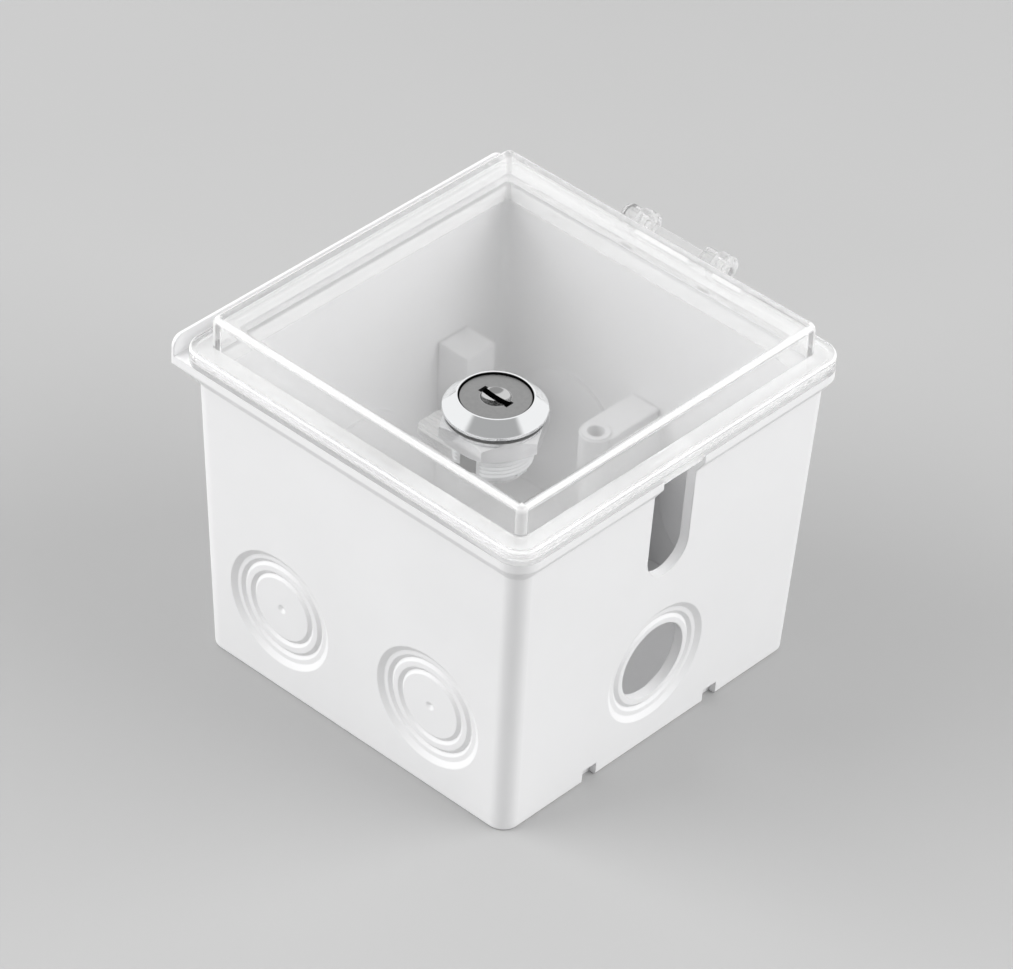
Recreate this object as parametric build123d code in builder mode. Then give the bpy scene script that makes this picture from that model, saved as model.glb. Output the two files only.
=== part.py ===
from build123d import *
import os
from math import asin, atan, cos, degrees, pi, radians, sin

# Lockable junction box: white moulded base with a rain visor, clear frame, clear hinged lid, cam lock.
# Millimetres. X across the front, Y from front to back, Z up.
# The origin is the middle of the flat underside of the base.

# Base box
foot_width = 93.0
foot_depth = 95.0
foot_edge_radius = 0.6
body_corner_radius = 4.3
wall_flare = 3.0
wall_thickness = 2.5
floor_thickness = 2.5
inner_corner_radius = 2.4

# Rim of the base
rim_bottom = 79.0
rim_thickness = 2.2
rim_reach = 2.2
rim_slope_height = 3.5
rim_corner_radius = 6.0

# Rain visor on the left side
visor_thickness = 1.5
visor_gap = 1.2
visor_height = 5.1
visor_corner_radius = 3.0
shelf_corner_radius = 1.2

# Catch for the cam on the front wall
catch_length = 16.0
catch_reach = 4.5
cam_catch_gap = 0.3

# Knockouts
knockout_height = 23.3
knockout_spacing = 46.6
knockout_hole_radius = 10.0
knockout_mouth_radius = 15.6
knockout_recess_radius = 14.2
knockout_recess_depth = 0.85
knockout_groove_radii = (12.2, 9.1)
knockout_groove_width = 1.7
knockout_groove_depth = 1.5
knockout_boss_radius = 16.1
knockout_boss_height = 0.8
dimple_radius = 1.2
dimple_depth = 0.5

# Cable slot and removed knockout of the right wall, on one centre line
entry_offset = -0.8
slot_width = 13.5
slot_bottom = 50.0

# Foot notches of the right wall
notch_width = 4.5
notch_height = 3.5
notch_depth = 1.8
notch_spacing = 40.6

# Screw posts on the front and back walls, blocks on the side walls, wall screw holes in the floor
post_spacing = 60.0
post_radius = 4.0
post_height = 44.4
post_collar_radius = 3.5
post_collar_height = 0.4
post_hole_radius = 2.1
post_hole_depth = 20.0
post_rib_width = 8.4
block_width = 9.5
block_reach = 9.5
block_height = 47.3
block_spacing = 60.6
wall_screw_spacing = 60.0
wall_screw_radius = 2.25
wall_screw_head_radius = 4.2
wall_screw_head_depth = 1.2

# Clear frame snapped into the rim
frame_thickness = 1.8
frame_skirt_length = 3.4
frame_skirt_thickness = 1.2
frame_fit = 0.1
frame_lip_height = 0.5
frame_lip_gap = 0.4
frame_edge_step = 0.6
frame_edge_height = 0.4
slot_bar_height = 1.4
snap_length = 18.0
snap_radius = 0.5
snap_fit = 0.1
snap_centre = -23.8

# Lid
lid_top = 93.0
lid_plate = 2.2
pan_width = 95.0
pan_depth = 96.6
pan_wall = 2.0
pan_corner_radius = 2.0
pan_edge_radius = 1.8
flange_top = 85.1
flange_thickness = 1.2
flange_edge_radius = 0.8
skirt_thickness = 1.6
seat_gap = 0.1

# Hinge
hinge_reach = 3.6
hinge_height = 84.9
hinge_pin_radius = 1.25
pin_clearance = 0.05
eye_radius = 3.5
eye_width = 3.0
eye_spacing = 23.5
lug_radius = 2.8
lug_width = 3.7
side_clearance = 0.2
pin_head_radius = 2.2
pin_head_length = 1.2
pin_head_edge = 0.4
pin_overhang = 0.8
pin_end_chamfer = 0.25
bead_radius = 1.8
bead_setback = 3.4
bead_drop = 0.7
bead_gap = 0.5
bead_right_length = 8.5
frame_relief = 1.6
relief_margin = 1.0

# Cam lock
lock_x = 19.2
lock_y = -26.8
bezel_radius = 11.7
bezel_band = 0.9
bezel_height = 3.7
bezel_top_radius = 8.8
bezel_edge_radius = 0.25
face_radius = 8.0
face_gap = 0.3
face_drop = 0.35
cap_thickness = 0.5
cap_skirt_height = 0.9
cap_skirt_thickness = 0.3
head_thickness = 1.3
barrel_radius = 9.0
barrel_flats = 16.0
barrel_length = 13.2
thread_pitch = 1.0
thread_depth = 0.42
thread_start = 3.4
lock_hole_clearance = 0.15
plug_radius = 6.1
plug_clearance = 0.06
end_play = 0.05
keyway_length = 8.0
keyway_width = 2.0
cap_slot_length = 8.5
dish_radius = 3.45
dish_depth = 0.35
nut_flats = 22.0
nut_thickness = 4.5
nut_chamfer = 0.9
thread_clearance = 0.05
lock_washer_radius = 11.2
lock_washer_thickness = 0.6

# Wafers in the plug
wafer_count = 7
wafer_pitch = 1.5
wafer_thickness = 0.8
wafer_slot_height = 0.9
wafer_width = 7.2
wafer_side_clearance = 0.1
wafer_end_clearance = 0.05
wafer_travel = 0.6
first_wafer_depth = 3.2
wafer_window_length = 7.9
wafer_window_width = 2.2
wafer_cuts = (0.4, -0.2, 0.1, -0.4, 0.3, 0.0, -0.3)
keyway_floor = 0.6
groove_clearance = 0.25
ear_start = 1.4
ear_length = 0.8
ear_reach = 1.2
wafer_spring_radius = 0.38
wafer_spring_wire_radius = 0.08
wafer_spring_length = 3.2
wafer_spring_turns = 5
wafer_spring_clearance = 0.05

# Cam stack under the barrel
spigot_side = 6.0
spigot_setback = 0.15
fit_clearance = 0.05
stop_washer_thickness = 0.8
stop_washer_radius = 6.7
stop_tab_reach = 8.8
stop_tab_width = 3.0
stop_clearance = 0.3
cam_turn = 90.0
cam_thickness = 1.8
cam_hub_radius = 7.5
cam_length = 19.7
cam_width = 10.0
cam_tip_radius = 3.0
spring_washer_thickness = 0.9
spring_washer_radius = 3.9
spring_washer_split = 1.0
screw_radius = 2.0
screw_length = 6.6
screw_head_radius = 3.7
screw_head_height = 2.2
screw_head_edge = 0.7
screw_recess_width = 0.9
screw_recess_length = 4.6
screw_recess_depth = 1.2

# Places worked out from the sizes above
rim_top = rim_bottom + rim_thickness
frame_top = rim_top + frame_thickness


def half_x(height):
    """Half width of the drafted body at a height."""
    return foot_width / 2 + foot_edge_radius + wall_flare * height / rim_bottom


def half_y(height):
    """Half depth of the drafted body at a height."""
    return foot_depth / 2 + foot_edge_radius + wall_flare * height / rim_bottom


rim_half_x = half_x(rim_bottom) + rim_reach
rim_half_y = half_y(rim_bottom) + rim_reach
cavity_half_x = half_x(rim_bottom) - wall_thickness
cavity_half_y = half_y(rim_bottom) - wall_thickness
frame_inner_x = cavity_half_x - frame_fit - frame_skirt_thickness
frame_inner_y = cavity_half_y - frame_fit - frame_skirt_thickness
snap_level = rim_top - frame_skirt_length / 2
draft_angle = atan(wall_flare / rim_bottom)
hinge_y = rim_half_y + hinge_reach
bezel_top = lid_top + bezel_height
face_top = bezel_top - face_drop
head_top = face_top - cap_thickness
head_bottom = head_top - head_thickness
barrel_end = lid_top - barrel_length
cam_top = barrel_end - end_play - stop_washer_thickness
cam_bottom = cam_top - cam_thickness
bore_radius = plug_radius + plug_clearance
wafer_reach = plug_radius - wafer_end_clearance
nut_top = lid_top - lid_plate - lock_washer_thickness
eye_centres = [side * eye_spacing / 2 for side in (-1, 1)]
lug_centres = [x - eye_width / 2 - side_clearance - lug_width / 2 for x in eye_centres]
wafer_levels = [bezel_top - first_wafer_depth - i * wafer_pitch for i in range(wafer_count)]
lock_profile = Plane(origin=(lock_x, lock_y, 0), x_dir=(1, 0, 0), z_dir=(0, -1, 0))
lock_axis = Axis((lock_x, lock_y, 0), (0, 0, 1))


def wall_plane(side, along, height):
    """Plane on the outer face of a drafted wall, facing out and tilted with the draft."""
    reach = half_y(height) if side in ("front", "back") else half_x(height)
    turn = {"front": -90, "right": 0, "back": 90, "left": 180}[side]
    out = Vector(1, 0, 0).rotate(Axis.Z, turn)
    level = Vector(0, 1, 0).rotate(Axis.Z, turn)
    tilt = Vector(0, 0, -1) * sin(draft_angle)
    return Plane(out * reach + level * along + Vector(0, 0, height), level, out * cos(draft_angle) + tilt)


knockout_places = [
    (side, along) for side in ("front", "back") for along in (-knockout_spacing / 2, knockout_spacing / 2)
]
knockout_places.append(("left", -entry_offset))
removed_place = ("right", entry_offset)

# White base box with its rim, visor, posts and catch
with BuildPart() as base_box:
    with BuildSketch(Plane.XY):
        RectangleRounded(2 * half_x(0), 2 * half_y(0), body_corner_radius)
    with BuildSketch(Plane.XY.offset(rim_bottom)):
        RectangleRounded(2 * half_x(rim_bottom), 2 * half_y(rim_bottom), body_corner_radius)
    loft(ruled=True)
    fillet(base_box.edges().group_by(Axis.Z)[0], foot_edge_radius)

    # sloped underside of the rim and of its shelf on the left side
    visor_outer = rim_half_x + visor_gap + visor_thickness
    slope_start = rim_bottom - rim_slope_height
    with BuildSketch(Plane.XY.offset(slope_start)):
        Rectangle(2 * half_x(slope_start), 2 * half_y(slope_start))
        fillet(vertices(), body_corner_radius)
    with BuildSketch(Plane.XY.offset(rim_bottom)):
        with Locations(((rim_half_x - visor_outer) / 2, 0)):
            Rectangle(rim_half_x + visor_outer, 2 * rim_half_y)
        left_corners = vertices().group_by(Axis.X)[0]
        right_corners = vertices().group_by(Axis.X)[-1]
        fillet(right_corners, rim_corner_radius)
        fillet(left_corners, shelf_corner_radius)
    loft(ruled=True)

    # rim, shelf and the visor standing on the edge of the shelf
    visor_top = rim_top + visor_height
    with BuildSketch(Plane.XY.offset(rim_bottom)):
        RectangleRounded(2 * rim_half_x, 2 * rim_half_y, rim_corner_radius)
    extrude(amount=rim_thickness)
    with BuildSketch(Plane.XZ):
        with BuildLine():
            Polyline(
                (rim_corner_radius - rim_half_x, rim_top),
                (rim_corner_radius - rim_half_x, rim_bottom),
                (-visor_outer, rim_bottom),
                (-visor_outer, visor_top),
                (-visor_outer + visor_thickness, visor_top),
                (-visor_outer + visor_thickness, rim_top),
                close=True,
            )
        make_face()
    extrude(amount=rim_half_y, both=True)
    visor_ends = base_box.edges().filter_by(Axis.X).group_by(Axis.Z)[-1]
    fillet(visor_ends, visor_corner_radius)
    shelf_ends = base_box.edges().filter_by(Axis.Z).group_by(Axis.X)[0]
    fillet(shelf_ends, shelf_corner_radius)

    # cavity, open at the top
    with BuildSketch(Plane.XY.offset(floor_thickness)):
        RectangleRounded(
            2 * (half_x(floor_thickness) - wall_thickness),
            2 * (half_y(floor_thickness) - wall_thickness),
            inner_corner_radius,
        )
    with BuildSketch(Plane.XY.offset(rim_bottom)):
        RectangleRounded(2 * cavity_half_x, 2 * cavity_half_y, inner_corner_radius)
    loft(ruled=True, mode=Mode.SUBTRACT)
    with BuildSketch(Plane.XY.offset(rim_bottom)):
        RectangleRounded(2 * cavity_half_x, 2 * cavity_half_y, inner_corner_radius)
    extrude(amount=rim_thickness, mode=Mode.SUBTRACT)

    # blocks on the side walls
    for side in (-1, 1):
        for row in (-1, 1):
            outer = half_x(floor_thickness) - wall_thickness / 2
            inner = half_x(block_height) - wall_thickness - block_reach
            with BuildSketch(Plane.XY.offset(floor_thickness / 2)):
                with Locations((side * (outer + inner) / 2, row * block_spacing / 2)):
                    Rectangle(outer - inner, block_width)
            extrude(amount=block_height - floor_thickness / 2)

    # screw posts with their ribs to the front and back walls
    for row in (-1, 1):
        rib_end = half_y(floor_thickness) - wall_thickness / 2
        with BuildSketch(Plane.XY.offset(floor_thickness / 2)):
            with Locations((0, row * post_spacing / 2)):
                Circle(post_radius)
            with Locations((0, row * (post_spacing / 2 + rib_end) / 2)):
                Rectangle(post_rib_width, rib_end - post_spacing / 2)
        extrude(amount=post_height - floor_thickness / 2)
        with BuildSketch(Plane.XY.offset(post_height)):
            with Locations((0, row * post_spacing / 2)):
                Circle(post_collar_radius)
        extrude(amount=post_collar_height)
        with BuildSketch(Plane.XY.offset(post_height + post_collar_height)):
            with Locations((0, row * post_spacing / 2)):
                Circle(post_hole_radius)
        extrude(amount=-post_hole_depth, mode=Mode.SUBTRACT)

    # knockouts: boss inside; recess with a bevelled edge, two V grooves and a dimple outside
    for side, along in knockout_places + [removed_place]:
        face = wall_plane(side, along, knockout_height)
        with BuildSketch(face.offset(-wall_thickness / 2)):
            Circle(knockout_boss_radius)
        extrude(amount=-wall_thickness / 2 - knockout_boss_height)
        outline = [
            (0, knockout_recess_depth),
            (2 * knockout_mouth_radius - knockout_recess_radius, knockout_recess_depth),
            (knockout_recess_radius, -knockout_recess_depth),
        ]
        for radius in knockout_groove_radii:
            outline.append((radius + knockout_groove_width / 2, -knockout_recess_depth))
            outline.append((radius, -knockout_groove_depth))
            outline.append((radius - knockout_groove_width / 2, -knockout_recess_depth))
        outline.append((dimple_radius, -knockout_recess_depth))
        outline.append((0, -knockout_recess_depth - dimple_depth))
        with BuildSketch(Plane(face.origin, face.x_dir, -face.y_dir)):
            with BuildLine():
                Polyline(*outline, close=True)
            make_face()
        revolve(axis=Axis(face.origin, face.z_dir), mode=Mode.SUBTRACT)
    with BuildSketch(wall_plane(*removed_place, knockout_height)):
        Circle(knockout_hole_radius)
    extrude(amount=-wall_thickness - 2 * knockout_boss_height, mode=Mode.SUBTRACT)

    # cable slot, open through the rim
    slot_radius = slot_width / 2
    with BuildSketch(Plane.YZ.offset(rim_half_x)):
        with Locations((entry_offset, slot_bottom + slot_radius)):
            Circle(slot_radius)
        with Locations((entry_offset, slot_bottom + slot_radius)):
            Rectangle(slot_width, rim_top - slot_bottom, align=(Align.CENTER, Align.MIN))
    extrude(amount=-(rim_half_x - half_x(0) + 2 * wall_thickness), mode=Mode.SUBTRACT)

    # foot notches under the right wall
    with BuildSketch(Plane.XY):
        for row in (-1, 1):
            with Locations((half_x(0), row * notch_spacing / 2)):
                Rectangle(2 * notch_depth, notch_width)
    extrude(amount=notch_height, mode=Mode.SUBTRACT)

    # wall screw holes in the floor, with seats for the heads
    with BuildSketch(Plane.XY):
        with GridLocations(wall_screw_spacing, 0, 2, 1):
            Circle(wall_screw_radius)
    extrude(amount=floor_thickness, mode=Mode.SUBTRACT)
    with BuildSketch(Plane.XY.offset(floor_thickness)):
        with GridLocations(wall_screw_spacing, 0, 2, 1):
            Circle(wall_screw_head_radius)
    extrude(amount=-wall_screw_head_depth, mode=Mode.SUBTRACT)

    # catch over the cam, on the inside of the front wall
    catch_bottom = cam_top + cam_catch_gap
    with BuildSketch(Plane.XY.offset(catch_bottom)):
        with Locations((lock_x, -cavity_half_y - wall_thickness / 2)):
            Rectangle(catch_length, catch_reach + wall_thickness / 2, align=(Align.CENTER, Align.MIN))
    extrude(amount=rim_top - catch_bottom)

    # grooves in the wall for the frame's snap beads
    for row in (-1, 1):
        with BuildSketch(Plane.YZ.offset(snap_centre - snap_length / 2)):
            with Locations((row * (cavity_half_y - frame_fit), snap_level)):
                Circle(snap_radius + snap_fit)
        extrude(amount=snap_length, mode=Mode.SUBTRACT)

# Clear frame: plate on the rim, skirt inside the walls, lip inside the lid's edge, hinge lugs
with BuildPart() as cover_frame:
    with BuildSketch(Plane.XY.offset(rim_top)):
        RectangleRounded(2 * rim_half_x, 2 * rim_half_y, rim_corner_radius)
    extrude(amount=frame_thickness - frame_edge_height)
    with BuildSketch(Plane.XY.offset(frame_top - frame_edge_height)):
        RectangleRounded(
            2 * (rim_half_x - frame_edge_step), 2 * (rim_half_y - frame_edge_step), rim_corner_radius
        )
    extrude(amount=frame_edge_height)
    lip_inset = skirt_thickness + frame_lip_gap
    with BuildSketch(Plane.XY.offset(frame_top)):
        RectangleRounded(
            2 * (rim_half_x - lip_inset), 2 * (rim_half_y - lip_inset), rim_corner_radius - skirt_thickness
        )
    extrude(amount=frame_lip_height)
    with BuildSketch(Plane.XY.offset(rim_top)):
        RectangleRounded(
            2 * (cavity_half_x - frame_fit), 2 * (cavity_half_y - frame_fit), inner_corner_radius
        )
    extrude(amount=-frame_skirt_length)
    for row in (-1, 1):
        with BuildSketch(Plane.YZ.offset(snap_centre - snap_length / 2)):
            with Locations((row * (cavity_half_y - frame_fit), snap_level)):
                Circle(snap_radius)
        extrude(amount=snap_length)
    with BuildSketch(Plane.XY.offset(rim_top - frame_skirt_length)):
        RectangleRounded(2 * frame_inner_x, 2 * frame_inner_y, inner_corner_radius / 2)
    extrude(amount=frame_skirt_length + frame_thickness + frame_lip_height, mode=Mode.SUBTRACT)

    # the skirt is open at the cable slot and at the catch, where it would close them
    with BuildSketch(Plane.XY.offset(rim_top)):
        with Locations((cavity_half_x, entry_offset)):
            Rectangle(2 * wall_thickness, slot_width)
        with Locations((lock_x, -cavity_half_y)):
            Rectangle(catch_length + 2 * side_clearance, 2 * wall_thickness)
    extrude(amount=-frame_skirt_length, mode=Mode.SUBTRACT)

    # a bar under the plate closes the top of the cable slot
    with BuildSketch(Plane.XY.offset(rim_top)):
        with Locations((rim_half_x - frame_edge_step, entry_offset)):
            Rectangle(
                wall_thickness + rim_reach - frame_edge_step,
                slot_width - 2 * frame_fit,
                align=(Align.MAX, Align.CENTER),
            )
    extrude(amount=-slot_bar_height)

    # the back edge steps in behind the lid's eyes and beads, and carries the two lugs
    relief_start = eye_centres[0] - eye_width / 2 - side_clearance
    relief_end = eye_centres[1] + eye_width / 2 + bead_right_length + relief_margin
    with BuildSketch(Plane.XY.offset(rim_top)):
        with Locations(((relief_start + relief_end) / 2, rim_half_y)):
            Rectangle(relief_end - relief_start, 2 * frame_relief)
    extrude(amount=frame_thickness, mode=Mode.SUBTRACT)
    for x in lug_centres:
        with BuildSketch(Plane.YZ.offset(x - lug_width / 2)):
            with Locations((hinge_y, hinge_height)):
                Circle(lug_radius)
            with Locations((hinge_y, rim_top)):
                Rectangle(2 * lug_radius, hinge_height - rim_top, align=(Align.CENTER, Align.MIN))
            with Locations((hinge_y, rim_top)):
                Rectangle(
                    hinge_reach + 2 * frame_relief,
                    frame_thickness - frame_edge_height,
                    align=(Align.MAX, Align.MIN),
                )
        extrude(amount=lug_width)
    with BuildSketch(Plane.YZ.offset(lug_centres[0] - lug_width)):
        with Locations((hinge_y, hinge_height)):
            Circle(hinge_pin_radius)
    extrude(amount=lug_centres[1] - lug_centres[0] + 2 * lug_width, mode=Mode.SUBTRACT)

# Clear lid: raised pan, flange with a short skirt, hinge eyes and stiffening beads, hole for the lock
with BuildPart() as lid:
    lid_bottom = frame_top + seat_gap
    with BuildSketch(Plane.XY.offset(lid_bottom)):
        RectangleRounded(2 * rim_half_x, 2 * rim_half_y, rim_corner_radius)
    extrude(amount=flange_top - lid_bottom)
    fillet(lid.edges().group_by(Axis.Z)[-1], flange_edge_radius)
    with BuildSketch(Plane.XY.offset(flange_top - flange_thickness)):
        RectangleRounded(pan_width, pan_depth, pan_corner_radius)
    extrude(amount=lid_top - flange_top + flange_thickness)
    fillet(lid.edges().group_by(Axis.Z)[-1], pan_edge_radius)
    with BuildSketch(Plane.XY.offset(lid_bottom)):
        RectangleRounded(
            2 * (rim_half_x - skirt_thickness),
            2 * (rim_half_y - skirt_thickness),
            rim_corner_radius - skirt_thickness,
        )
    extrude(amount=flange_top - flange_thickness - lid_bottom, mode=Mode.SUBTRACT)
    with BuildSketch(Plane.XY.offset(lid_bottom)):
        RectangleRounded(pan_width - 2 * pan_wall, pan_depth - 2 * pan_wall, pan_corner_radius / 2)
    extrude(amount=lid_top - lid_plate - lid_bottom, mode=Mode.SUBTRACT)

    # hole with two flats for the lock
    with BuildSketch(Plane.XY.offset(lid_top)):
        with Locations((lock_x, lock_y)):
            Circle(barrel_radius + lock_hole_clearance)
            Rectangle(2 * bezel_radius, barrel_flats + 2 * lock_hole_clearance, mode=Mode.INTERSECT)
    extrude(amount=-lid_plate, mode=Mode.SUBTRACT)

    # beads along the back edge
    bead_spans = [
        (eye_centres[0] + eye_width / 2, lug_centres[1] - lug_width / 2 - bead_gap),
        (eye_centres[1] + eye_width / 2, eye_centres[1] + eye_width / 2 + bead_right_length),
    ]
    for start, end in bead_spans:
        with BuildSketch(Plane.YZ.offset(start)):
            with Locations((hinge_y - bead_setback, hinge_height - bead_drop)):
                Circle(bead_radius)
        extrude(amount=end - start)

    # eyes on short arms
    for x in eye_centres:
        with BuildSketch(Plane.YZ.offset(x - eye_width / 2)):
            with Locations((hinge_y, hinge_height)):
                Circle(eye_radius)
            with Locations((hinge_y, lid_bottom)):
                Rectangle(
                    hinge_reach + skirt_thickness, flange_top - lid_bottom, align=(Align.MAX, Align.MIN)
                )
        extrude(amount=eye_width)
        with BuildSketch(Plane.YZ.offset(x - eye_width / 2)):
            with Locations((hinge_y, hinge_height)):
                Circle(hinge_pin_radius + pin_clearance)
        extrude(amount=eye_width, mode=Mode.SUBTRACT)

# Hinge pin with a round head at its left end
with BuildPart() as hinge_pin:
    pin_start = lug_centres[0] - lug_width / 2
    pin_end = eye_centres[1] + eye_width / 2 + pin_overhang
    with BuildSketch(Plane.YZ.offset(pin_start)):
        with Locations((hinge_y, hinge_height)):
            Circle(hinge_pin_radius)
    extrude(amount=pin_end - pin_start)
    chamfer(hinge_pin.edges().sort_by(Axis.X)[-1], pin_end_chamfer)
    with BuildSketch(Plane.YZ.offset(pin_start)):
        with Locations((hinge_y, hinge_height)):
            Circle(pin_head_radius)
    extrude(amount=-pin_head_length)
    fillet(hinge_pin.edges().sort_by(Axis.X)[0], pin_head_edge)

# Lock housing: conical bezel, threaded barrel with two flats, stop ring at its end
with BuildPart() as lock_housing:
    seat_level = head_bottom - end_play
    recess_radius = face_radius + face_gap
    with BuildSketch(lock_profile):
        with BuildLine():
            Polyline(
                (bore_radius, barrel_end),
                (barrel_radius, barrel_end),
                (barrel_radius, lid_top),
                (bezel_radius, lid_top),
                (bezel_radius, lid_top + bezel_band),
                (bezel_top_radius, bezel_top),
                (recess_radius, bezel_top),
                (recess_radius, seat_level),
                (bore_radius, seat_level),
                close=True,
            )
        make_face()
        outer_corners = vertices().group_by(Axis.X)[-1]
        fillet(outer_corners, bezel_edge_radius)
    revolve(axis=lock_axis)

    # ring that stops the tab of the stop washer after a quarter turn
    stop_margin = degrees(asin((stop_tab_width / 2 + stop_clearance) / stop_washer_radius))
    ring_start = radians(cam_turn + stop_margin)
    ring_plane = Plane(
        (lock_x, lock_y, 0), (cos(ring_start), sin(ring_start), 0), (sin(ring_start), -cos(ring_start), 0)
    )
    ring_inner = stop_washer_radius + stop_clearance
    with BuildSketch(ring_plane):
        with Locations((ring_inner, barrel_end)):
            Rectangle(barrel_radius - ring_inner, stop_washer_thickness, align=(Align.MIN, Align.MAX))
    revolve(axis=lock_axis, revolution_arc=360 - cam_turn - 2 * stop_margin)

    # thread, as rings at the pitch
    thread_count = int((barrel_length - thread_start) / thread_pitch)
    with BuildSketch(lock_profile):
        for turn in range(thread_count):
            with Locations((barrel_radius, barrel_end + (turn + 0.5) * thread_pitch)):
                Rectangle(thread_depth * 2**0.5, thread_depth * 2**0.5, rotation=45)
    revolve(axis=lock_axis, mode=Mode.SUBTRACT)
    with BuildSketch(Plane((lock_x, lock_y, cam_top))):
        Rectangle(2 * bezel_radius, 2 * bezel_radius)
        Rectangle(2 * bezel_radius, barrel_flats, mode=Mode.SUBTRACT)
    extrude(amount=lid_top - cam_top, mode=Mode.SUBTRACT)

    # two pairs of grooves that the wafers spring into, one for each place where the key comes out
    groove_bottom = wafer_levels[-1] - wafer_slot_height / 2 - groove_clearance
    groove_top = wafer_levels[0] + wafer_slot_height / 2 + groove_clearance
    groove_reach = wafer_reach + wafer_travel + groove_clearance
    with BuildSketch(Plane((lock_x, lock_y, groove_bottom))):
        Rectangle(2 * groove_reach, wafer_width + 2 * groove_clearance)
        Rectangle(wafer_width + 2 * groove_clearance, 2 * groove_reach)
    extrude(amount=groove_top - groove_bottom, mode=Mode.SUBTRACT)

# Matt face cap with the key slot in a shallow dish
with BuildPart() as plug_cap:
    with BuildSketch(Plane((lock_x, lock_y, head_top - cap_skirt_height))):
        Circle(face_radius)
    extrude(amount=cap_skirt_height + cap_thickness)
    with BuildSketch(Plane((lock_x, lock_y, head_top - cap_skirt_height))):
        Circle(face_radius - cap_skirt_thickness)
    extrude(amount=cap_skirt_height, mode=Mode.SUBTRACT)
    dish_sphere = (dish_radius**2 + dish_depth**2) / (2 * dish_depth)
    with Locations((lock_x, lock_y, face_top + dish_sphere - dish_depth)):
        Sphere(dish_sphere, mode=Mode.SUBTRACT)
    with BuildSketch(Plane((lock_x, lock_y, head_top))):
        Rectangle(cap_slot_length, keyway_width)
    extrude(amount=cap_thickness, mode=Mode.SUBTRACT)

# Plug that the key turns, with its wafer slots, spring pockets and square spigot
with BuildPart() as lock_plug:
    with BuildSketch(Plane((lock_x, lock_y, head_bottom))):
        Circle(face_radius - cap_skirt_thickness - fit_clearance)
    extrude(amount=head_thickness)
    plug_end = barrel_end - end_play
    with BuildSketch(Plane((lock_x, lock_y, plug_end))):
        Circle(plug_radius)
    extrude(amount=head_bottom - plug_end)
    with BuildSketch(Plane((lock_x, lock_y, plug_end))):
        Rectangle(spigot_side, spigot_side)
    extrude(amount=-(stop_washer_thickness + cam_thickness - spigot_setback))
    keyway_end = wafer_levels[-1] - wafer_slot_height / 2 - keyway_floor
    with BuildSketch(Plane((lock_x, lock_y, keyway_end))):
        Rectangle(keyway_length, keyway_width)
    extrude(amount=head_top - keyway_end, mode=Mode.SUBTRACT)
    pocket_start = ear_start - wafer_spring_length - 2 * wafer_spring_clearance
    pocket_end = ear_start + ear_length + wafer_travel + wafer_side_clearance
    pocket_reach = wafer_width / 2 + ear_reach + wafer_side_clearance
    for level in wafer_levels:
        with BuildSketch(Plane((lock_x, lock_y, level - wafer_slot_height / 2))):
            Rectangle(2 * barrel_radius, wafer_width + 2 * wafer_side_clearance)
            with Locations((pocket_start, 0)):
                Rectangle(pocket_end - pocket_start, pocket_reach, align=(Align.MIN, Align.MIN))
        extrude(amount=wafer_slot_height, mode=Mode.SUBTRACT)
    with BuildSketch(Plane((lock_x, lock_y, cam_bottom))):
        Circle(screw_radius)
    extrude(amount=screw_length - spring_washer_thickness + fit_clearance, mode=Mode.SUBTRACT)

# Wafers, each with its window cut at another place
wafers = []
for number, (level, cut) in enumerate(zip(wafer_levels, wafer_cuts), start=1):
    with BuildPart() as wafer:
        with BuildSketch(Plane((lock_x, lock_y, level - wafer_thickness / 2))):
            Circle(wafer_reach)
            Rectangle(2 * barrel_radius, wafer_width, mode=Mode.INTERSECT)
            with Locations((ear_start, 0)):
                Rectangle(ear_length, wafer_width / 2 + ear_reach, align=(Align.MIN, Align.MIN))
            with Locations((cut, 0)):
                Rectangle(wafer_window_length, wafer_window_width, mode=Mode.SUBTRACT)
        extrude(amount=wafer_thickness)
    wafer.part.label = f"wafer_{number}"
    wafers.append(wafer)

# Springs beside the wafers, each pushing on its wafer's ear
coil_radius = wafer_spring_radius - wafer_spring_wire_radius
coil_length = wafer_spring_length - 2 * wafer_spring_wire_radius
coil_start = ear_start - wafer_spring_clearance - wafer_spring_length + wafer_spring_wire_radius
coil_side = wafer_width / 2 + wafer_side_clearance + (ear_reach - wafer_side_clearance) / 2
with BuildPart() as wafer_spring:
    with BuildLine() as coil:
        Helix(coil_length / wafer_spring_turns, coil_length, coil_radius, direction=(1, 0, 0))
    with BuildSketch(Plane(coil.line @ 0, z_dir=coil.line % 0)):
        Circle(wafer_spring_wire_radius)
    sweep(is_frenet=True)
with BuildPart() as wafer_springs:
    with Locations(*[(lock_x + coil_start, lock_y + coil_side, level) for level in wafer_levels]):
        add(wafer_spring.part)

# Washer under the lid and hexagon nut on the barrel
with BuildPart() as lock_washer:
    with BuildSketch(Plane((lock_x, lock_y, nut_top))):
        Circle(lock_washer_radius)
        Circle(barrel_radius + lock_hole_clearance, mode=Mode.SUBTRACT)
    extrude(amount=lock_washer_thickness)
with BuildPart() as lock_nut:
    nut_bottom = nut_top - nut_thickness
    nut_corner = nut_flats / 2 / cos(pi / 6)
    with BuildSketch(Plane((lock_x, lock_y, nut_bottom))):
        RegularPolygon(nut_flats / 2, 6, major_radius=False)
        Circle(barrel_radius + thread_clearance, mode=Mode.SUBTRACT)
    extrude(amount=nut_thickness)
    with BuildSketch(lock_profile):
        with BuildLine():
            Polyline(
                (0, nut_bottom),
                (nut_flats / 2, nut_bottom),
                (nut_corner, nut_bottom + nut_chamfer),
                (nut_corner, nut_top - nut_chamfer),
                (nut_flats / 2, nut_top),
                (0, nut_top),
                close=True,
            )
        make_face()
    revolve(axis=lock_axis, mode=Mode.INTERSECT)

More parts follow.
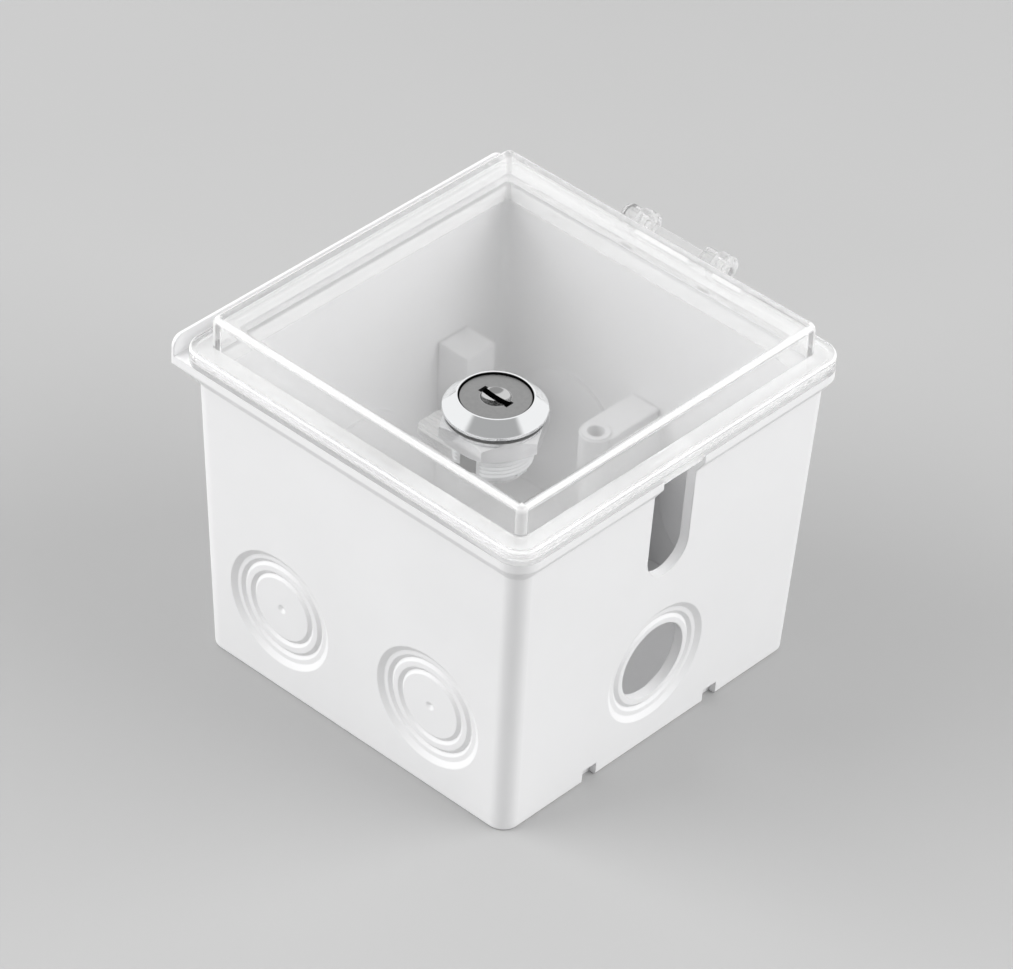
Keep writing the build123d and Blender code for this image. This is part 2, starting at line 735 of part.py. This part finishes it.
# Stop washer, cam, split washer and screw under the barrel
with BuildPart() as stop_washer:
    with BuildSketch(Plane((lock_x, lock_y, cam_top))):
        Circle(stop_washer_radius)
        Rectangle(stop_tab_reach, stop_tab_width, align=(Align.MIN, Align.CENTER))
        Rectangle(spigot_side + 2 * fit_clearance, spigot_side + 2 * fit_clearance, mode=Mode.SUBTRACT)
    extrude(amount=stop_washer_thickness)
with BuildPart() as cam:
    with BuildSketch(Plane((lock_x, lock_y, cam_bottom))):
        Rectangle(cam_length, cam_width, align=(Align.MAX, Align.CENTER))
        fillet(vertices().group_by(Axis.X)[0], cam_tip_radius)
        Circle(cam_hub_radius)
        Rectangle(spigot_side + 2 * fit_clearance, spigot_side + 2 * fit_clearance, mode=Mode.SUBTRACT)
    extrude(amount=cam_thickness)
with BuildPart() as cam_spring_washer:
    with BuildSketch(Plane((lock_x, lock_y, cam_bottom))):
        Circle(spring_washer_radius)
        Circle(screw_radius + fit_clearance, mode=Mode.SUBTRACT)
        with Locations((0, spring_washer_radius)):
            Rectangle(spring_washer_split, 2 * spring_washer_radius, mode=Mode.SUBTRACT)
    extrude(amount=-spring_washer_thickness)
with BuildPart() as cam_screw:
    head_seat = cam_bottom - spring_washer_thickness
    with BuildSketch(Plane((lock_x, lock_y, head_seat))):
        Circle(screw_head_radius)
    extrude(amount=-screw_head_height)
    fillet(cam_screw.edges().group_by(Axis.Z)[0], screw_head_edge)
    with BuildSketch(Plane((lock_x, lock_y, head_seat))):
        Circle(screw_radius)
    extrude(amount=screw_length)
    with BuildSketch(Plane((lock_x, lock_y, head_seat - screw_head_height))):
        Rectangle(screw_recess_length, screw_recess_width)
        Rectangle(screw_recess_width, screw_recess_length)
    extrude(amount=screw_recess_depth, mode=Mode.SUBTRACT)

base_box.part.label = "base_box"
cover_frame.part.label = "cover_frame"
lid.part.label = "lid"
hinge_pin.part.label = "hinge_pin"
lock_housing.part.label = "lock_housing"
plug_cap.part.label = "plug_cap"
lock_plug.part.label = "lock_plug"
wafer_springs.part.label = "wafer_springs"
lock_washer.part.label = "lock_washer"
lock_nut.part.label = "lock_nut"
stop_washer.part.label = "stop_washer"
cam.part.label = "cam"
cam_spring_washer.part.label = "cam_spring_washer"
cam_screw.part.label = "cam_screw"

finished = [
    base_box,
    cover_frame,
    lid,
    hinge_pin,
    lock_housing,
    plug_cap,
    lock_plug,
    *wafers,
    wafer_springs,
    lock_washer,
    lock_nut,
    stop_washer,
    cam,
    cam_spring_washer,
    cam_screw,
]
os.makedirs("parts", exist_ok=True)
for piece in finished:
    export_step(piece.part, f"parts/{piece.part.label}.step")
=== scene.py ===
from math import cos, radians, sin

import bpy
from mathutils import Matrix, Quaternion, Vector


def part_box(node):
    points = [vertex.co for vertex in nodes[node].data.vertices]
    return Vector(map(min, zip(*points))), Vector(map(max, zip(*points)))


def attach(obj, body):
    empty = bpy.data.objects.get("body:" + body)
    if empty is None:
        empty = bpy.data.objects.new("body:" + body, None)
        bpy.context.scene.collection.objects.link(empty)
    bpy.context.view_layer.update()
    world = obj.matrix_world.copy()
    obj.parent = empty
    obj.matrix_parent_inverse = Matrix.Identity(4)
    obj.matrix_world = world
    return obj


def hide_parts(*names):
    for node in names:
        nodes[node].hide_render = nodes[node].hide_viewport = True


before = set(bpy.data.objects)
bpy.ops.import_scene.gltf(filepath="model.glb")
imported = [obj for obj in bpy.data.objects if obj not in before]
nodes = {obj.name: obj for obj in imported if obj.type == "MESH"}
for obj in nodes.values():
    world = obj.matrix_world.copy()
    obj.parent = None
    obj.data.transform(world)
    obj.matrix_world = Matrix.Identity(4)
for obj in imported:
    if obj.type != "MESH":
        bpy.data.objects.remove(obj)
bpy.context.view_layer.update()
bpy.ops.object.select_all(action="DESELECT")

# Base box: one injection moulding in white ABS with drafted walls, a rim and a rain visor.
# Its skin is the fine spark-eroded texture of the mould over slow waves where the plastic shrank.
mould_corner = 0.0004


def new_finish(name, colour, roughness, metallic=0.0):
    """Material with one Principled shader, returned with its node tree and shader."""
    material = bpy.data.materials.new(name)
    material.use_nodes = True
    tree = material.node_tree
    shader = tree.nodes["Principled BSDF"]
    shader.inputs["Base Color"].default_value = (*colour, 1.0)
    shader.inputs["Roughness"].default_value = roughness
    shader.inputs["Metallic"].default_value = metallic
    return material, tree, shader


def piece_coordinates(tree, centre=(0.0, 0.0, 0.0), stretch=(1.0, 1.0, 1.0)):
    """The piece's own coordinates, moved so that a pattern is centred on it, and stretched."""
    coordinates = tree.nodes.new("ShaderNodeTexCoord")
    mapping = tree.nodes.new("ShaderNodeMapping")
    mapping.inputs["Location"].default_value = [-c * s for c, s in zip(centre, stretch)]
    mapping.inputs["Scale"].default_value = stretch
    tree.links.new(coordinates.outputs["Object"], mapping.inputs["Vector"])
    return mapping.outputs["Vector"]


def noise(tree, vector, scale, detail):
    """Value of a noise with that many features in a metre."""
    texture = tree.nodes.new("ShaderNodeTexNoise")
    texture.inputs["Scale"].default_value = scale
    texture.inputs["Detail"].default_value = detail
    tree.links.new(vector, texture.inputs["Vector"])
    return texture.outputs["Fac"]


def rise(tree, value, start, end, low=0.0, high=1.0):
    """Low up to where the value reaches the start, high from where it reaches the end."""
    span = tree.nodes.new("ShaderNodeMapRange")
    span.inputs["From Min"].default_value = start
    span.inputs["From Max"].default_value = end
    span.inputs["To Min"].default_value = low
    span.inputs["To Max"].default_value = high
    tree.links.new(value, span.inputs["Value"])
    return span.outputs["Result"]


def vary_colour(tree, shader, value, dark, light):
    """Base colour from dark to light over the middle of the value."""
    ramp = tree.nodes.new("ShaderNodeValToRGB")
    for element, position, colour in zip(ramp.color_ramp.elements, (0.35, 0.65), (dark, light)):
        element.position = position
        element.color = (*colour, 1.0)
    tree.links.new(value, ramp.inputs["Fac"])
    tree.links.new(ramp.outputs["Color"], shader.inputs["Base Color"])


def vary_roughness(tree, shader, value, low, high):
    """Roughness from low to high over the middle of the value."""
    tree.links.new(rise(tree, value, 0.3, 0.7, low, high), shader.inputs["Roughness"])


def emboss(tree, shader, value, depth, strength=1.0, under=None):
    """Surface relief of that depth in metres, on top of an earlier relief."""
    bump = tree.nodes.new("ShaderNodeBump")
    bump.inputs["Strength"].default_value = strength
    bump.inputs["Distance"].default_value = depth
    tree.links.new(value, bump.inputs["Height"])
    if under:
        tree.links.new(under, bump.inputs["Normal"])
    tree.links.new(bump.outputs["Normal"], shader.inputs["Normal"])
    return bump.outputs["Normal"]


def soften_edges(tree, relief, radius):
    """Rounds sharp edges in the shading under a relief, as a mould's worn corners do."""
    bevel = tree.nodes.new("ShaderNodeBevel")
    bevel.samples = 4
    bevel.inputs["Radius"].default_value = radius
    tree.links.new(bevel.outputs["Normal"], relief.node.inputs["Normal"])


def dress(piece, material):
    """Gives a piece its material."""
    if piece.material_slots:
        for place in piece.material_slots:
            place.material = material
    else:
        piece.data.materials.append(material)


white_abs, tree, shader = new_finish("white_moulded_abs", (0.79, 0.79, 0.795), 0.42)
where = piece_coordinates(tree)
vary_colour(tree, shader, noise(tree, where, 28, 4), (0.78, 0.78, 0.785), (0.8, 0.8, 0.805))
vary_roughness(tree, shader, noise(tree, where, 90, 5), 0.38, 0.48)
waves = emboss(tree, shader, noise(tree, where, 45, 2), 0.00006, 0.25)
soften_edges(tree, waves, mould_corner)
emboss(tree, shader, noise(tree, where, 2400, 4), 0.000012, 0.6, under=waves)
dress(nodes["base_box"], white_abs)

# Clear frame: moulded in polycarbonate, snapped on the rim of the box, and carrying the hinge lugs.
# Clear plastic bends what is behind it, so its shape shows mostly at its edges. Its haze, stronger at
# the edges, is partly painted highlight that whitens them as bright reflections would. The lugs are
# clearer than the rest.
clear_tint = (0.99, 0.99, 0.99)
lamp_share = 0.97
hinge_clearness = 0.95
hinge_blend = 0.0005
hinge_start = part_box("hinge_pin")[0][1] - 0.0012
square_to_piece = 0.995
turned_away = 0.85


def parts(tree, vector):
    """X, Y and Z of a vector."""
    split = tree.nodes.new("ShaderNodeSeparateXYZ")
    tree.links.new(vector, split.inputs["Vector"])
    return split.outputs["X"], split.outputs["Y"], split.outputs["Z"]


def calculate(tree, operation, first, second):
    """Result of an operation on a value and a second value or number."""
    node = tree.nodes.new("ShaderNodeMath")
    node.operation = operation
    tree.links.new(first, node.inputs[0])
    if isinstance(second, float):
        node.inputs[1].default_value = second
    else:
        tree.links.new(second, node.inputs[1])
    return node.outputs["Value"]


def sizes(tree, vector):
    """X, Y and Z of a vector without their signs."""
    size = tree.nodes.new("ShaderNodeVectorMath")
    size.operation = "ABSOLUTE"
    tree.links.new(vector, size.inputs[0])
    return parts(tree, size.outputs["Vector"])


def slant(tree):
    """0 on faces square to the piece, rising to 1 where the surface turns over a rounded edge."""
    coordinates = tree.nodes.new("ShaderNodeTexCoord")
    x, y, z = sizes(tree, coordinates.outputs["Normal"])
    widest = calculate(tree, "MAXIMUM", calculate(tree, "MAXIMUM", x, y), z)
    return rise(tree, widest, square_to_piece, turned_away)


def at_hinge(tree):
    """1 on the lugs, the eyes and the pin, 0 in front of them."""
    x, y, z = parts(tree, piece_coordinates(tree))
    return rise(tree, y, hinge_start, hinge_start + hinge_blend)


def override(tree, mask, target, inner):
    """Sets an input of the shader to another value or colour where the mask is 1."""
    mix = tree.nodes.new("ShaderNodeMix")
    mix.data_type = "RGBA" if target.type == "RGBA" else "FLOAT"
    factor, outer_input, inner_input = [socket for socket in mix.inputs if socket.enabled]
    result = [socket for socket in mix.outputs if socket.enabled][0]
    if target.is_linked:
        tree.links.new(target.links[0].from_socket, outer_input)
    else:
        outer_input.default_value = target.default_value
    inner_input.default_value = inner
    tree.links.new(mask, factor)
    tree.links.new(result, target)


def clear_plastic(name, roughness_low, roughness_high, clear_faces, clear_edges):
    """Polycarbonate with haze at its edges as painted highlight, which also lets the lamps through to
    what is behind it.
    """
    material, tree, shader = new_finish(name, clear_tint, roughness_low)
    shader.inputs["IOR"].default_value = 1.45
    where = piece_coordinates(tree)
    vary_roughness(tree, shader, noise(tree, where, 60, 4), roughness_low, roughness_high)
    clearness = shader.inputs["Transmission Weight"]
    tree.links.new(rise(tree, slant(tree), 0.0, 1.0, clear_faces, clear_edges), clearness)
    override(tree, at_hinge(tree), clearness, hinge_clearness)
    path = tree.nodes.new("ShaderNodeLightPath")
    through = tree.nodes.new("ShaderNodeBsdfTransparent")
    through.inputs["Color"].default_value = (lamp_share, lamp_share, lamp_share, 1.0)
    mix = tree.nodes.new("ShaderNodeMixShader")
    tree.links.new(path.outputs["Is Shadow Ray"], mix.inputs["Fac"])
    tree.links.new(shader.outputs["BSDF"], mix.inputs[1])
    tree.links.new(through.outputs["BSDF"], mix.inputs[2])
    tree.links.new(mix.outputs["Shader"], tree.nodes["Material Output"].inputs["Surface"])
    return material


hazy_pc_painted_edges = clear_plastic("hazy_polycarbonate_painted_edges", 0.03, 0.06, 0.66, 0.4)
dress(nodes["cover_frame"], hazy_pc_painted_edges)

# Lid: the raised clear cover, the same polycarbonate as the frame, hinged at the back.
# Its upright walls and the corners of its pan are made milkier than its top, as painted highlight that
# whitens them.
pan_half_width = 0.0475
pan_half_depth = 0.0483
pan_foot = 0.0853
corner_reach = 0.0021
corner_blend = 0.0004
wall_lean = 0.1
top_lean = 0.2


def upright(tree):
    """1 on walls that stand upright, 0 on all that leans or lies flat."""
    coordinates = tree.nodes.new("ShaderNodeTexCoord")
    x, y, z = sizes(tree, coordinates.outputs["Normal"])
    return rise(tree, z, top_lean, wall_lean)


def near_corner(tree):
    """1 on the four vertical corners of the pan, 0 on the walls between them."""
    x, y, z = sizes(tree, piece_coordinates(tree))
    past_x = calculate(tree, "SUBTRACT", x, pan_half_width - corner_reach)
    past_y = calculate(tree, "SUBTRACT", y, pan_half_depth - corner_reach)
    past_z = calculate(tree, "SUBTRACT", z, pan_foot)
    least = calculate(tree, "MINIMUM", calculate(tree, "MINIMUM", past_x, past_y), past_z)
    return rise(tree, least, 0.0, corner_blend)


clear_pc = clear_plastic("clear_polycarbonate", 0.03, 0.06, 0.93, 0.3)
tree = clear_pc.node_tree
clearness = tree.nodes["Principled BSDF"].inputs["Transmission Weight"]
override(tree, upright(tree), clearness, 0.8)
override(tree, near_corner(tree), clearness, 0.4)
dress(nodes["lid"], clear_pc)

# Hinge pin: turned from clear rod, with a round head at one end and a chamfer at the other.
# It is pressed through the lugs of the frame, and the eyes of the lid turn on it.
clear_rod = clear_plastic("clear_hinge_rod", 0.05, 0.1, 0.9, 0.7)
dress(nodes["hinge_pin"], clear_rod)

# Lock housing: zinc die casting with a turned bezel and a thread, polished and chrome plated.
# The recess round the face cap is painted near black as painted shade, and the barrel is less polished.
lock_axis = (0.0192, -0.0268, 0.0)
recess_radius = 0.00834
recess_blend = 0.00004
barrel_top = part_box("lid")[1][2] - 0.0005
barrel_blend = 0.0003
recess_painted_shade = (0.02, 0.02, 0.02, 1.0)


def towards_axis(tree, start, end):
    """0 at one distance from the axis of the lock, rising to 1 at the other."""
    flat = piece_coordinates(tree, lock_axis, (1.0, 1.0, 0.0))
    reach = tree.nodes.new("ShaderNodeVectorMath")
    reach.operation = "LENGTH"
    tree.links.new(flat, reach.inputs[0])
    return rise(tree, reach.outputs["Value"], start, end)


def below(tree, height, blend):
    """1 under the height, 0 above the blend over it."""
    x, y, z = parts(tree, piece_coordinates(tree))
    return rise(tree, z, height + blend, height)


chrome, tree, shader = new_finish("polished_chrome", (0.86, 0.87, 0.88), 0.06, metallic=1.0)
where = piece_coordinates(tree, lock_axis)
vary_roughness(tree, shader, noise(tree, where, 500, 4), 0.04, 0.11)
emboss(tree, shader, noise(tree, where, 900, 3), 0.000003, 0.2)
barrel = below(tree, barrel_top, barrel_blend)
override(tree, barrel, shader.inputs["Base Color"], (0.74, 0.75, 0.76, 1.0))
override(tree, barrel, shader.inputs["Roughness"], 0.32)
# Painted shade: the recess round the face cap is near black.
recess = towards_axis(tree, recess_radius + recess_blend, recess_radius)
override(tree, recess, shader.inputs["Base Color"], recess_painted_shade)
override(tree, recess, shader.inputs["Roughness"], 0.6)
dress(nodes["lock_housing"], chrome)

# Nut and washer: pressed from steel and chromed, less polished than the bezel.
# The nut holds the housing in the lid from below, with the washer between them.
nut_chrome, tree, shader = new_finish("satin_chrome", (0.8, 0.8, 0.81), 0.15, metallic=1.0)
where = piece_coordinates(tree, lock_axis)
vary_colour(tree, shader, noise(tree, where, 300, 4), (0.76, 0.76, 0.77), (0.84, 0.84, 0.85))
vary_roughness(tree, shader, noise(tree, where, 700, 5), 0.1, 0.2)
emboss(tree, shader, noise(tree, where, 1500, 4), 0.00001, 0.4)
for name in ("lock_nut", "lock_washer"):
    dress(nodes[name], nut_chrome)

# Face cap: steel disc stamped to a cup and pressed on the head of the plug, with a rolled edge, a
# polished dish and the key slot. The slot is wider at its ends, where the key's tip is guided in.
cap_low, cap_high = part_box("plug_cap")
cap_radius = (cap_high[0] - cap_low[0]) / 2
cap_height = cap_high[2] - cap_low[2]
cap_metal = 0.0005
cap_skirt = 0.0003
cap_roll = 0.00015
dish_radius = 0.00345
dish_depth = 0.00035
dish_steps = 6
dish_step_angle = radians(12.5)
dish_edge = 0.0001
dish_shading_depth = 0.0014
slot_half_length = 0.00425
slot_half_width = 0.0008
slot_end_length = 0.0009
slot_end_half_width = 0.00115
slot_cutter_half_height = 0.003


def pick(piece, rule):
    """Opens a piece in edit mode with the faces chosen whose normal passes the rule."""
    bpy.context.view_layer.objects.active = piece
    bpy.ops.object.mode_set(mode="EDIT")
    bpy.ops.mesh.select_mode(type="FACE")
    bpy.ops.mesh.select_all(action="DESELECT")
    bpy.ops.object.mode_set(mode="OBJECT")
    for face in piece.data.polygons:
        face.select = rule(face.normal)
    bpy.ops.object.mode_set(mode="EDIT")


def settle(piece):
    """Leaves a piece at the origin, with its place in its mesh, merged and with its normals outward."""
    bpy.ops.object.mode_set(mode="EDIT")
    bpy.ops.mesh.select_all(action="SELECT")
    bpy.ops.mesh.remove_doubles(threshold=0.000001)
    bpy.ops.mesh.normals_make_consistent(inside=False)
    bpy.ops.object.mode_set(mode="OBJECT")
    bpy.ops.object.transform_apply(location=True, rotation=True, scale=True)
    bpy.ops.object.shade_smooth_by_angle(angle=radians(30))
    bpy.ops.object.select_all(action="DESELECT")


def cut(piece, cutter):
    """Takes a cutter's shape out of a piece."""
    carving = piece.modifiers.new("cut", "BOOLEAN")
    carving.operation = "DIFFERENCE"
    carving.solver = "EXACT"
    carving.object = cutter
    bpy.ops.object.select_all(action="DESELECT")
    piece.select_set(True)
    bpy.context.view_layer.objects.active = piece
    bpy.ops.object.modifier_apply(modifier="cut")
    bpy.data.objects.remove(cutter)


bpy.ops.mesh.primitive_cylinder_add(
    vertices=128,
    radius=cap_radius,
    depth=cap_height,
    location=(lock_axis[0], lock_axis[1], (cap_low[2] + cap_high[2]) / 2),
)
cap = bpy.context.object
cap.name = "face_cap"
bpy.ops.object.transform_apply(location=True, rotation=True, scale=True)
pick(cap, lambda normal: normal.z < -0.9)
bpy.ops.mesh.inset(thickness=cap_skirt)
bpy.ops.mesh.inset(thickness=0.0, depth=cap_metal - cap_height)
pick(cap, lambda normal: normal.z > 0.9)
bpy.ops.mesh.inset(thickness=cap_radius - dish_radius)
for step in range(dish_steps):
    narrowing = cos(dish_step_angle * step) - cos(dish_step_angle * (step + 1))
    bpy.ops.mesh.inset(thickness=dish_radius * narrowing, depth=-dish_depth / dish_steps)
bpy.ops.object.mode_set(mode="OBJECT")
rolled = cap.modifiers.new("rolled_edge", "BEVEL")
rolled.width = cap_roll
rolled.segments = 3
rolled.limit_method = "ANGLE"
rolled.angle_limit = radians(60)
bpy.ops.object.modifier_apply(modifier="rolled_edge")
for offset, half_length, half_width in (
    (0.0, slot_half_length, slot_half_width),
    (slot_half_length - slot_end_length / 2, slot_end_length / 2, slot_end_half_width),
    (slot_end_length / 2 - slot_half_length, slot_end_length / 2, slot_end_half_width),
):
    bpy.ops.mesh.primitive_cube_add(size=2.0, location=(lock_axis[0] + offset, lock_axis[1], cap_high[2]))
    cutter = bpy.context.object
    cutter.scale = (half_length, half_width, slot_cutter_half_height)
    bpy.ops.object.transform_apply(location=True, rotation=True, scale=True)
    cut(cap, cutter)
settle(cap)
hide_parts("plug_cap")
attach(cap, "plug")

face_steel, tree, shader = new_finish("matt_face_steel", (0.32, 0.32, 0.32), 0.4, metallic=1.0)
where = piece_coordinates(tree, lock_axis)
vary_colour(tree, shader, noise(tree, where, 1200, 5), (0.31, 0.31, 0.31), (0.34, 0.34, 0.34))
vary_roughness(tree, shader, noise(tree, where, 1200, 5), 0.34, 0.42)
hollow = calculate(tree, "POWER", towards_axis(tree, 0.0, dish_radius), 2.0)
sunk = emboss(tree, shader, hollow, dish_shading_depth)
emboss(tree, shader, noise(tree, where, 3000, 4), 0.000003, 0.4, under=sunk)
dish = towards_axis(tree, dish_radius + dish_edge, dish_radius)
override(tree, dish, shader.inputs["Base Color"], (0.6, 0.6, 0.6, 1.0))
override(tree, dish, shader.inputs["Roughness"], 0.12)
dress(cap, face_steel)

# Plug: zinc die casting, left bare, with its slots for the wafers. The key turns it in the housing.
# Its keyway is painted near black, as painted shade inside the narrow slot.
keyway_reach = 0.0043
keyway_blend = 0.0002
plug_zinc, tree, shader = new_finish("bare_zinc", (0.5, 0.5, 0.49), 0.35, metallic=1.0)
where = piece_coordinates(tree, lock_axis)
vary_colour(tree, shader, noise(tree, where, 400, 5), (0.44, 0.44, 0.43), (0.55, 0.55, 0.54))
vary_roughness(tree, shader, noise(tree, where, 900, 4), 0.3, 0.48)
emboss(tree, shader, noise(tree, where, 2000, 5), 0.00002, 0.5)
# Painted shade: the keyway is near black.
keyway = towards_axis(tree, keyway_reach + keyway_blend, keyway_reach)
override(tree, keyway, shader.inputs["Base Color"], (0.02, 0.02, 0.02, 1.0))
override(tree, keyway, shader.inputs["Roughness"], 0.6)
dress(nodes["lock_plug"], plug_zinc)

# Wafers: brass leaves, stamped from strip, that slide in the plug. In the middle, inside the keyway,
# they are painted dark as painted shade.
keyway_shade_reach = 0.0041
keyway_shade_blend = 0.0004
wafer_count = 7
wafer_brass, tree, shader = new_finish("stamped_brass", (0.72, 0.53, 0.26), 0.28, metallic=1.0)
where = piece_coordinates(tree, lock_axis, (1.0, 12.0, 1.0))
vary_colour(tree, shader, noise(tree, where, 260, 4), (0.68, 0.48, 0.22), (0.78, 0.6, 0.32))
vary_roughness(tree, shader, noise(tree, where, 500, 4), 0.22, 0.36)
emboss(tree, shader, noise(tree, where, 900, 3), 0.00001, 0.4)
keyway_shaded = towards_axis(tree, keyway_shade_reach + keyway_shade_blend, keyway_shade_reach)
override(tree, keyway_shaded, shader.inputs["Base Color"], (0.05, 0.04, 0.02, 1.0))
for number in range(1, wafer_count + 1):
    dress(nodes[f"wafer_{number}"], wafer_brass)

# Springs: small coils of drawn steel wire, one in a pocket of the plug beside each wafer.
# They push the wafers out when no key is in the lock.
spring_steel, tree, shader = new_finish("spring_wire", (0.45, 0.45, 0.46), 0.3, metallic=1.0)
where = piece_coordinates(tree, lock_axis)
vary_colour(tree, shader, noise(tree, where, 1500, 3), (0.4, 0.4, 0.41), (0.52, 0.52, 0.53))
vary_roughness(tree, shader, noise(tree, where, 2500, 3), 0.24, 0.38)
dress(nodes["wafer_springs"], spring_steel)

# Stop washer, split washer and screw: steel with bright zinc plating, under the barrel.
# The screw clamps the washers and the cam to the end of the plug.
zinc_steel, tree, shader = new_finish("bright_zinc_plate", (0.7, 0.71, 0.73), 0.25, metallic=1.0)
where = piece_coordinates(tree, lock_axis)
vary_colour(tree, shader, noise(tree, where, 350, 5), (0.63, 0.65, 0.68), (0.76, 0.76, 0.76))
vary_roughness(tree, shader, noise(tree, where, 800, 5), 0.18, 0.34)
emboss(tree, shader, noise(tree, where, 1800, 4), 0.00001, 0.4)
for name in ("stop_washer", "cam_screw"):
    dress(nodes[name], zinc_steel)
dress(nodes["cam_spring_washer"], zinc_steel)

# Cam: steel arm on the square end of the plug, which turns under the catch of the box.
# It is punched from rolled strip, so its grain runs along it.
cam_steel, tree, shader = new_finish("rolled_cam_steel", (0.6, 0.6, 0.6), 0.3, metallic=1.0)
where = piece_coordinates(tree, lock_axis, (1.0, 14.0, 14.0))
vary_colour(tree, shader, noise(tree, where, 120, 5), (0.54, 0.54, 0.54), (0.68, 0.68, 0.68))
vary_roughness(tree, shader, noise(tree, where, 260, 5), 0.22, 0.4)
emboss(tree, shader, noise(tree, where, 420, 4), 0.00001, 0.5)
dress(nodes["cam"], cam_steel)

# Studio: pale grey sheet under the box, a soft box on each side and one above, a bright room.
# Above the camera the room is darker, which the polished bezel of the lock reflects. Metal and
# plastic see the room brighter than it lights the rest.
room_level = 0.54
mirror_level = 1.0
ceiling_level = 0.45
through_plastic_level = 0.84
above_camera = (0.39, -0.44, 0.81)
ceiling_starts = 0.64
ceiling_is_full = 0.8
soft_box_size = 1.4
box_middle = Vector((0.0, 0.0, 0.05))

bpy.ops.mesh.primitive_plane_add(size=6.0, location=(0.0, 0.0, 0.0))
floor = bpy.context.object
floor.name = "floor"
floor_paper, tree, shader = new_finish("pale_grey_sheet", (0.43, 0.43, 0.43), 0.8)
where = piece_coordinates(tree)
vary_colour(tree, shader, noise(tree, where, 6, 2), (0.425, 0.425, 0.425), (0.435, 0.435, 0.435))
floor.data.materials.append(floor_paper)


def soft_box(name, place, power):
    """Square lamp that faces the middle of the box."""
    lamp = bpy.data.lights.new(name, "AREA")
    lamp.shape = "SQUARE"
    lamp.size = soft_box_size
    lamp.energy = power
    holder = bpy.data.objects.new(name, lamp)
    bpy.context.scene.collection.objects.link(holder)
    holder.location = place
    holder.rotation_euler = (box_middle - Vector(place)).to_track_quat("-Z", "Y").to_euler()
    holder.visible_glossy = False
    holder.visible_transmission = False


def blend(tree, factor, first, second):
    """From the first value to the second, a value or a number, as the factor goes from 0 to 1."""
    mix = tree.nodes.new("ShaderNodeMix")
    tree.links.new(factor, mix.inputs["Factor"])
    for value, socket in ((first, mix.inputs["A"]), (second, mix.inputs["B"])):
        if isinstance(value, float):
            socket.default_value = value
        else:
            tree.links.new(value, socket)
    return mix.outputs["Result"]


soft_box("left_soft_box", (-0.95, -0.95, 0.8), 24.0)
soft_box("right_soft_box", (1.05, 0.75, 0.8), 20.5)
soft_box("top_soft_box", (-0.1, 0.25, 1.5), 3.0)

world = bpy.data.worlds.new("studio")
bpy.context.scene.world = world
world.use_nodes = True
room = world.node_tree
direction = room.nodes.new("ShaderNodeTexCoord")
overhead = room.nodes.new("ShaderNodeVectorMath")
overhead.operation = "DOT_PRODUCT"
overhead.inputs[1].default_value = above_camera
room.links.new(direction.outputs["Generated"], overhead.inputs[0])
mirrored = rise(
    room, overhead.outputs["Value"], ceiling_starts, ceiling_is_full, mirror_level, ceiling_level
)
mirrored.node.interpolation_type = "SMOOTHSTEP"
path = room.nodes.new("ShaderNodeLightPath")
is_glossy = path.outputs["Is Glossy Ray"]
is_transmission = path.outputs["Is Transmission Ray"]
shown = blend(room, is_transmission, mirrored, through_plastic_level)
seen = calculate(room, "MAXIMUM", is_glossy, is_transmission)
seen = calculate(room, "SUBTRACT", seen, path.outputs["Diffuse Depth"])
seen = calculate(room, "MAXIMUM", seen, 0.0)
background = room.nodes["Background"]
room.links.new(blend(room, seen, room_level, shown), background.inputs["Strength"])
background.inputs["Color"].default_value = (1.0, 1.0, 1.0, 1.0)

# Camera: where the photograph was taken from, above the front right corner of the box.
# It has a long lens and a slight roll.
camera_place = (0.65337, -0.73886, 0.82291)
camera_turn = radians(41.49)
camera_tilt = radians(38.21)
camera_roll = radians(3.05)
camera_lens = 196.75
camera_data = bpy.data.cameras.new("camera")
camera_data.lens = camera_lens
camera_data.sensor_width = 36.0
camera_data.clip_end = 20.0
camera = bpy.data.objects.new("camera", camera_data)
bpy.context.scene.collection.objects.link(camera)
camera.location = camera_place
look = Vector(
    (-sin(camera_turn) * cos(camera_tilt), cos(camera_turn) * cos(camera_tilt), -sin(camera_tilt))
)
camera.rotation_mode = "QUATERNION"
camera.rotation_quaternion = look.to_track_quat("-Z", "Y") @ Quaternion((0, 0, 1), camera_roll)
bpy.context.scene.camera = camera
bpy.context.scene.view_settings.view_transform = "Standard"
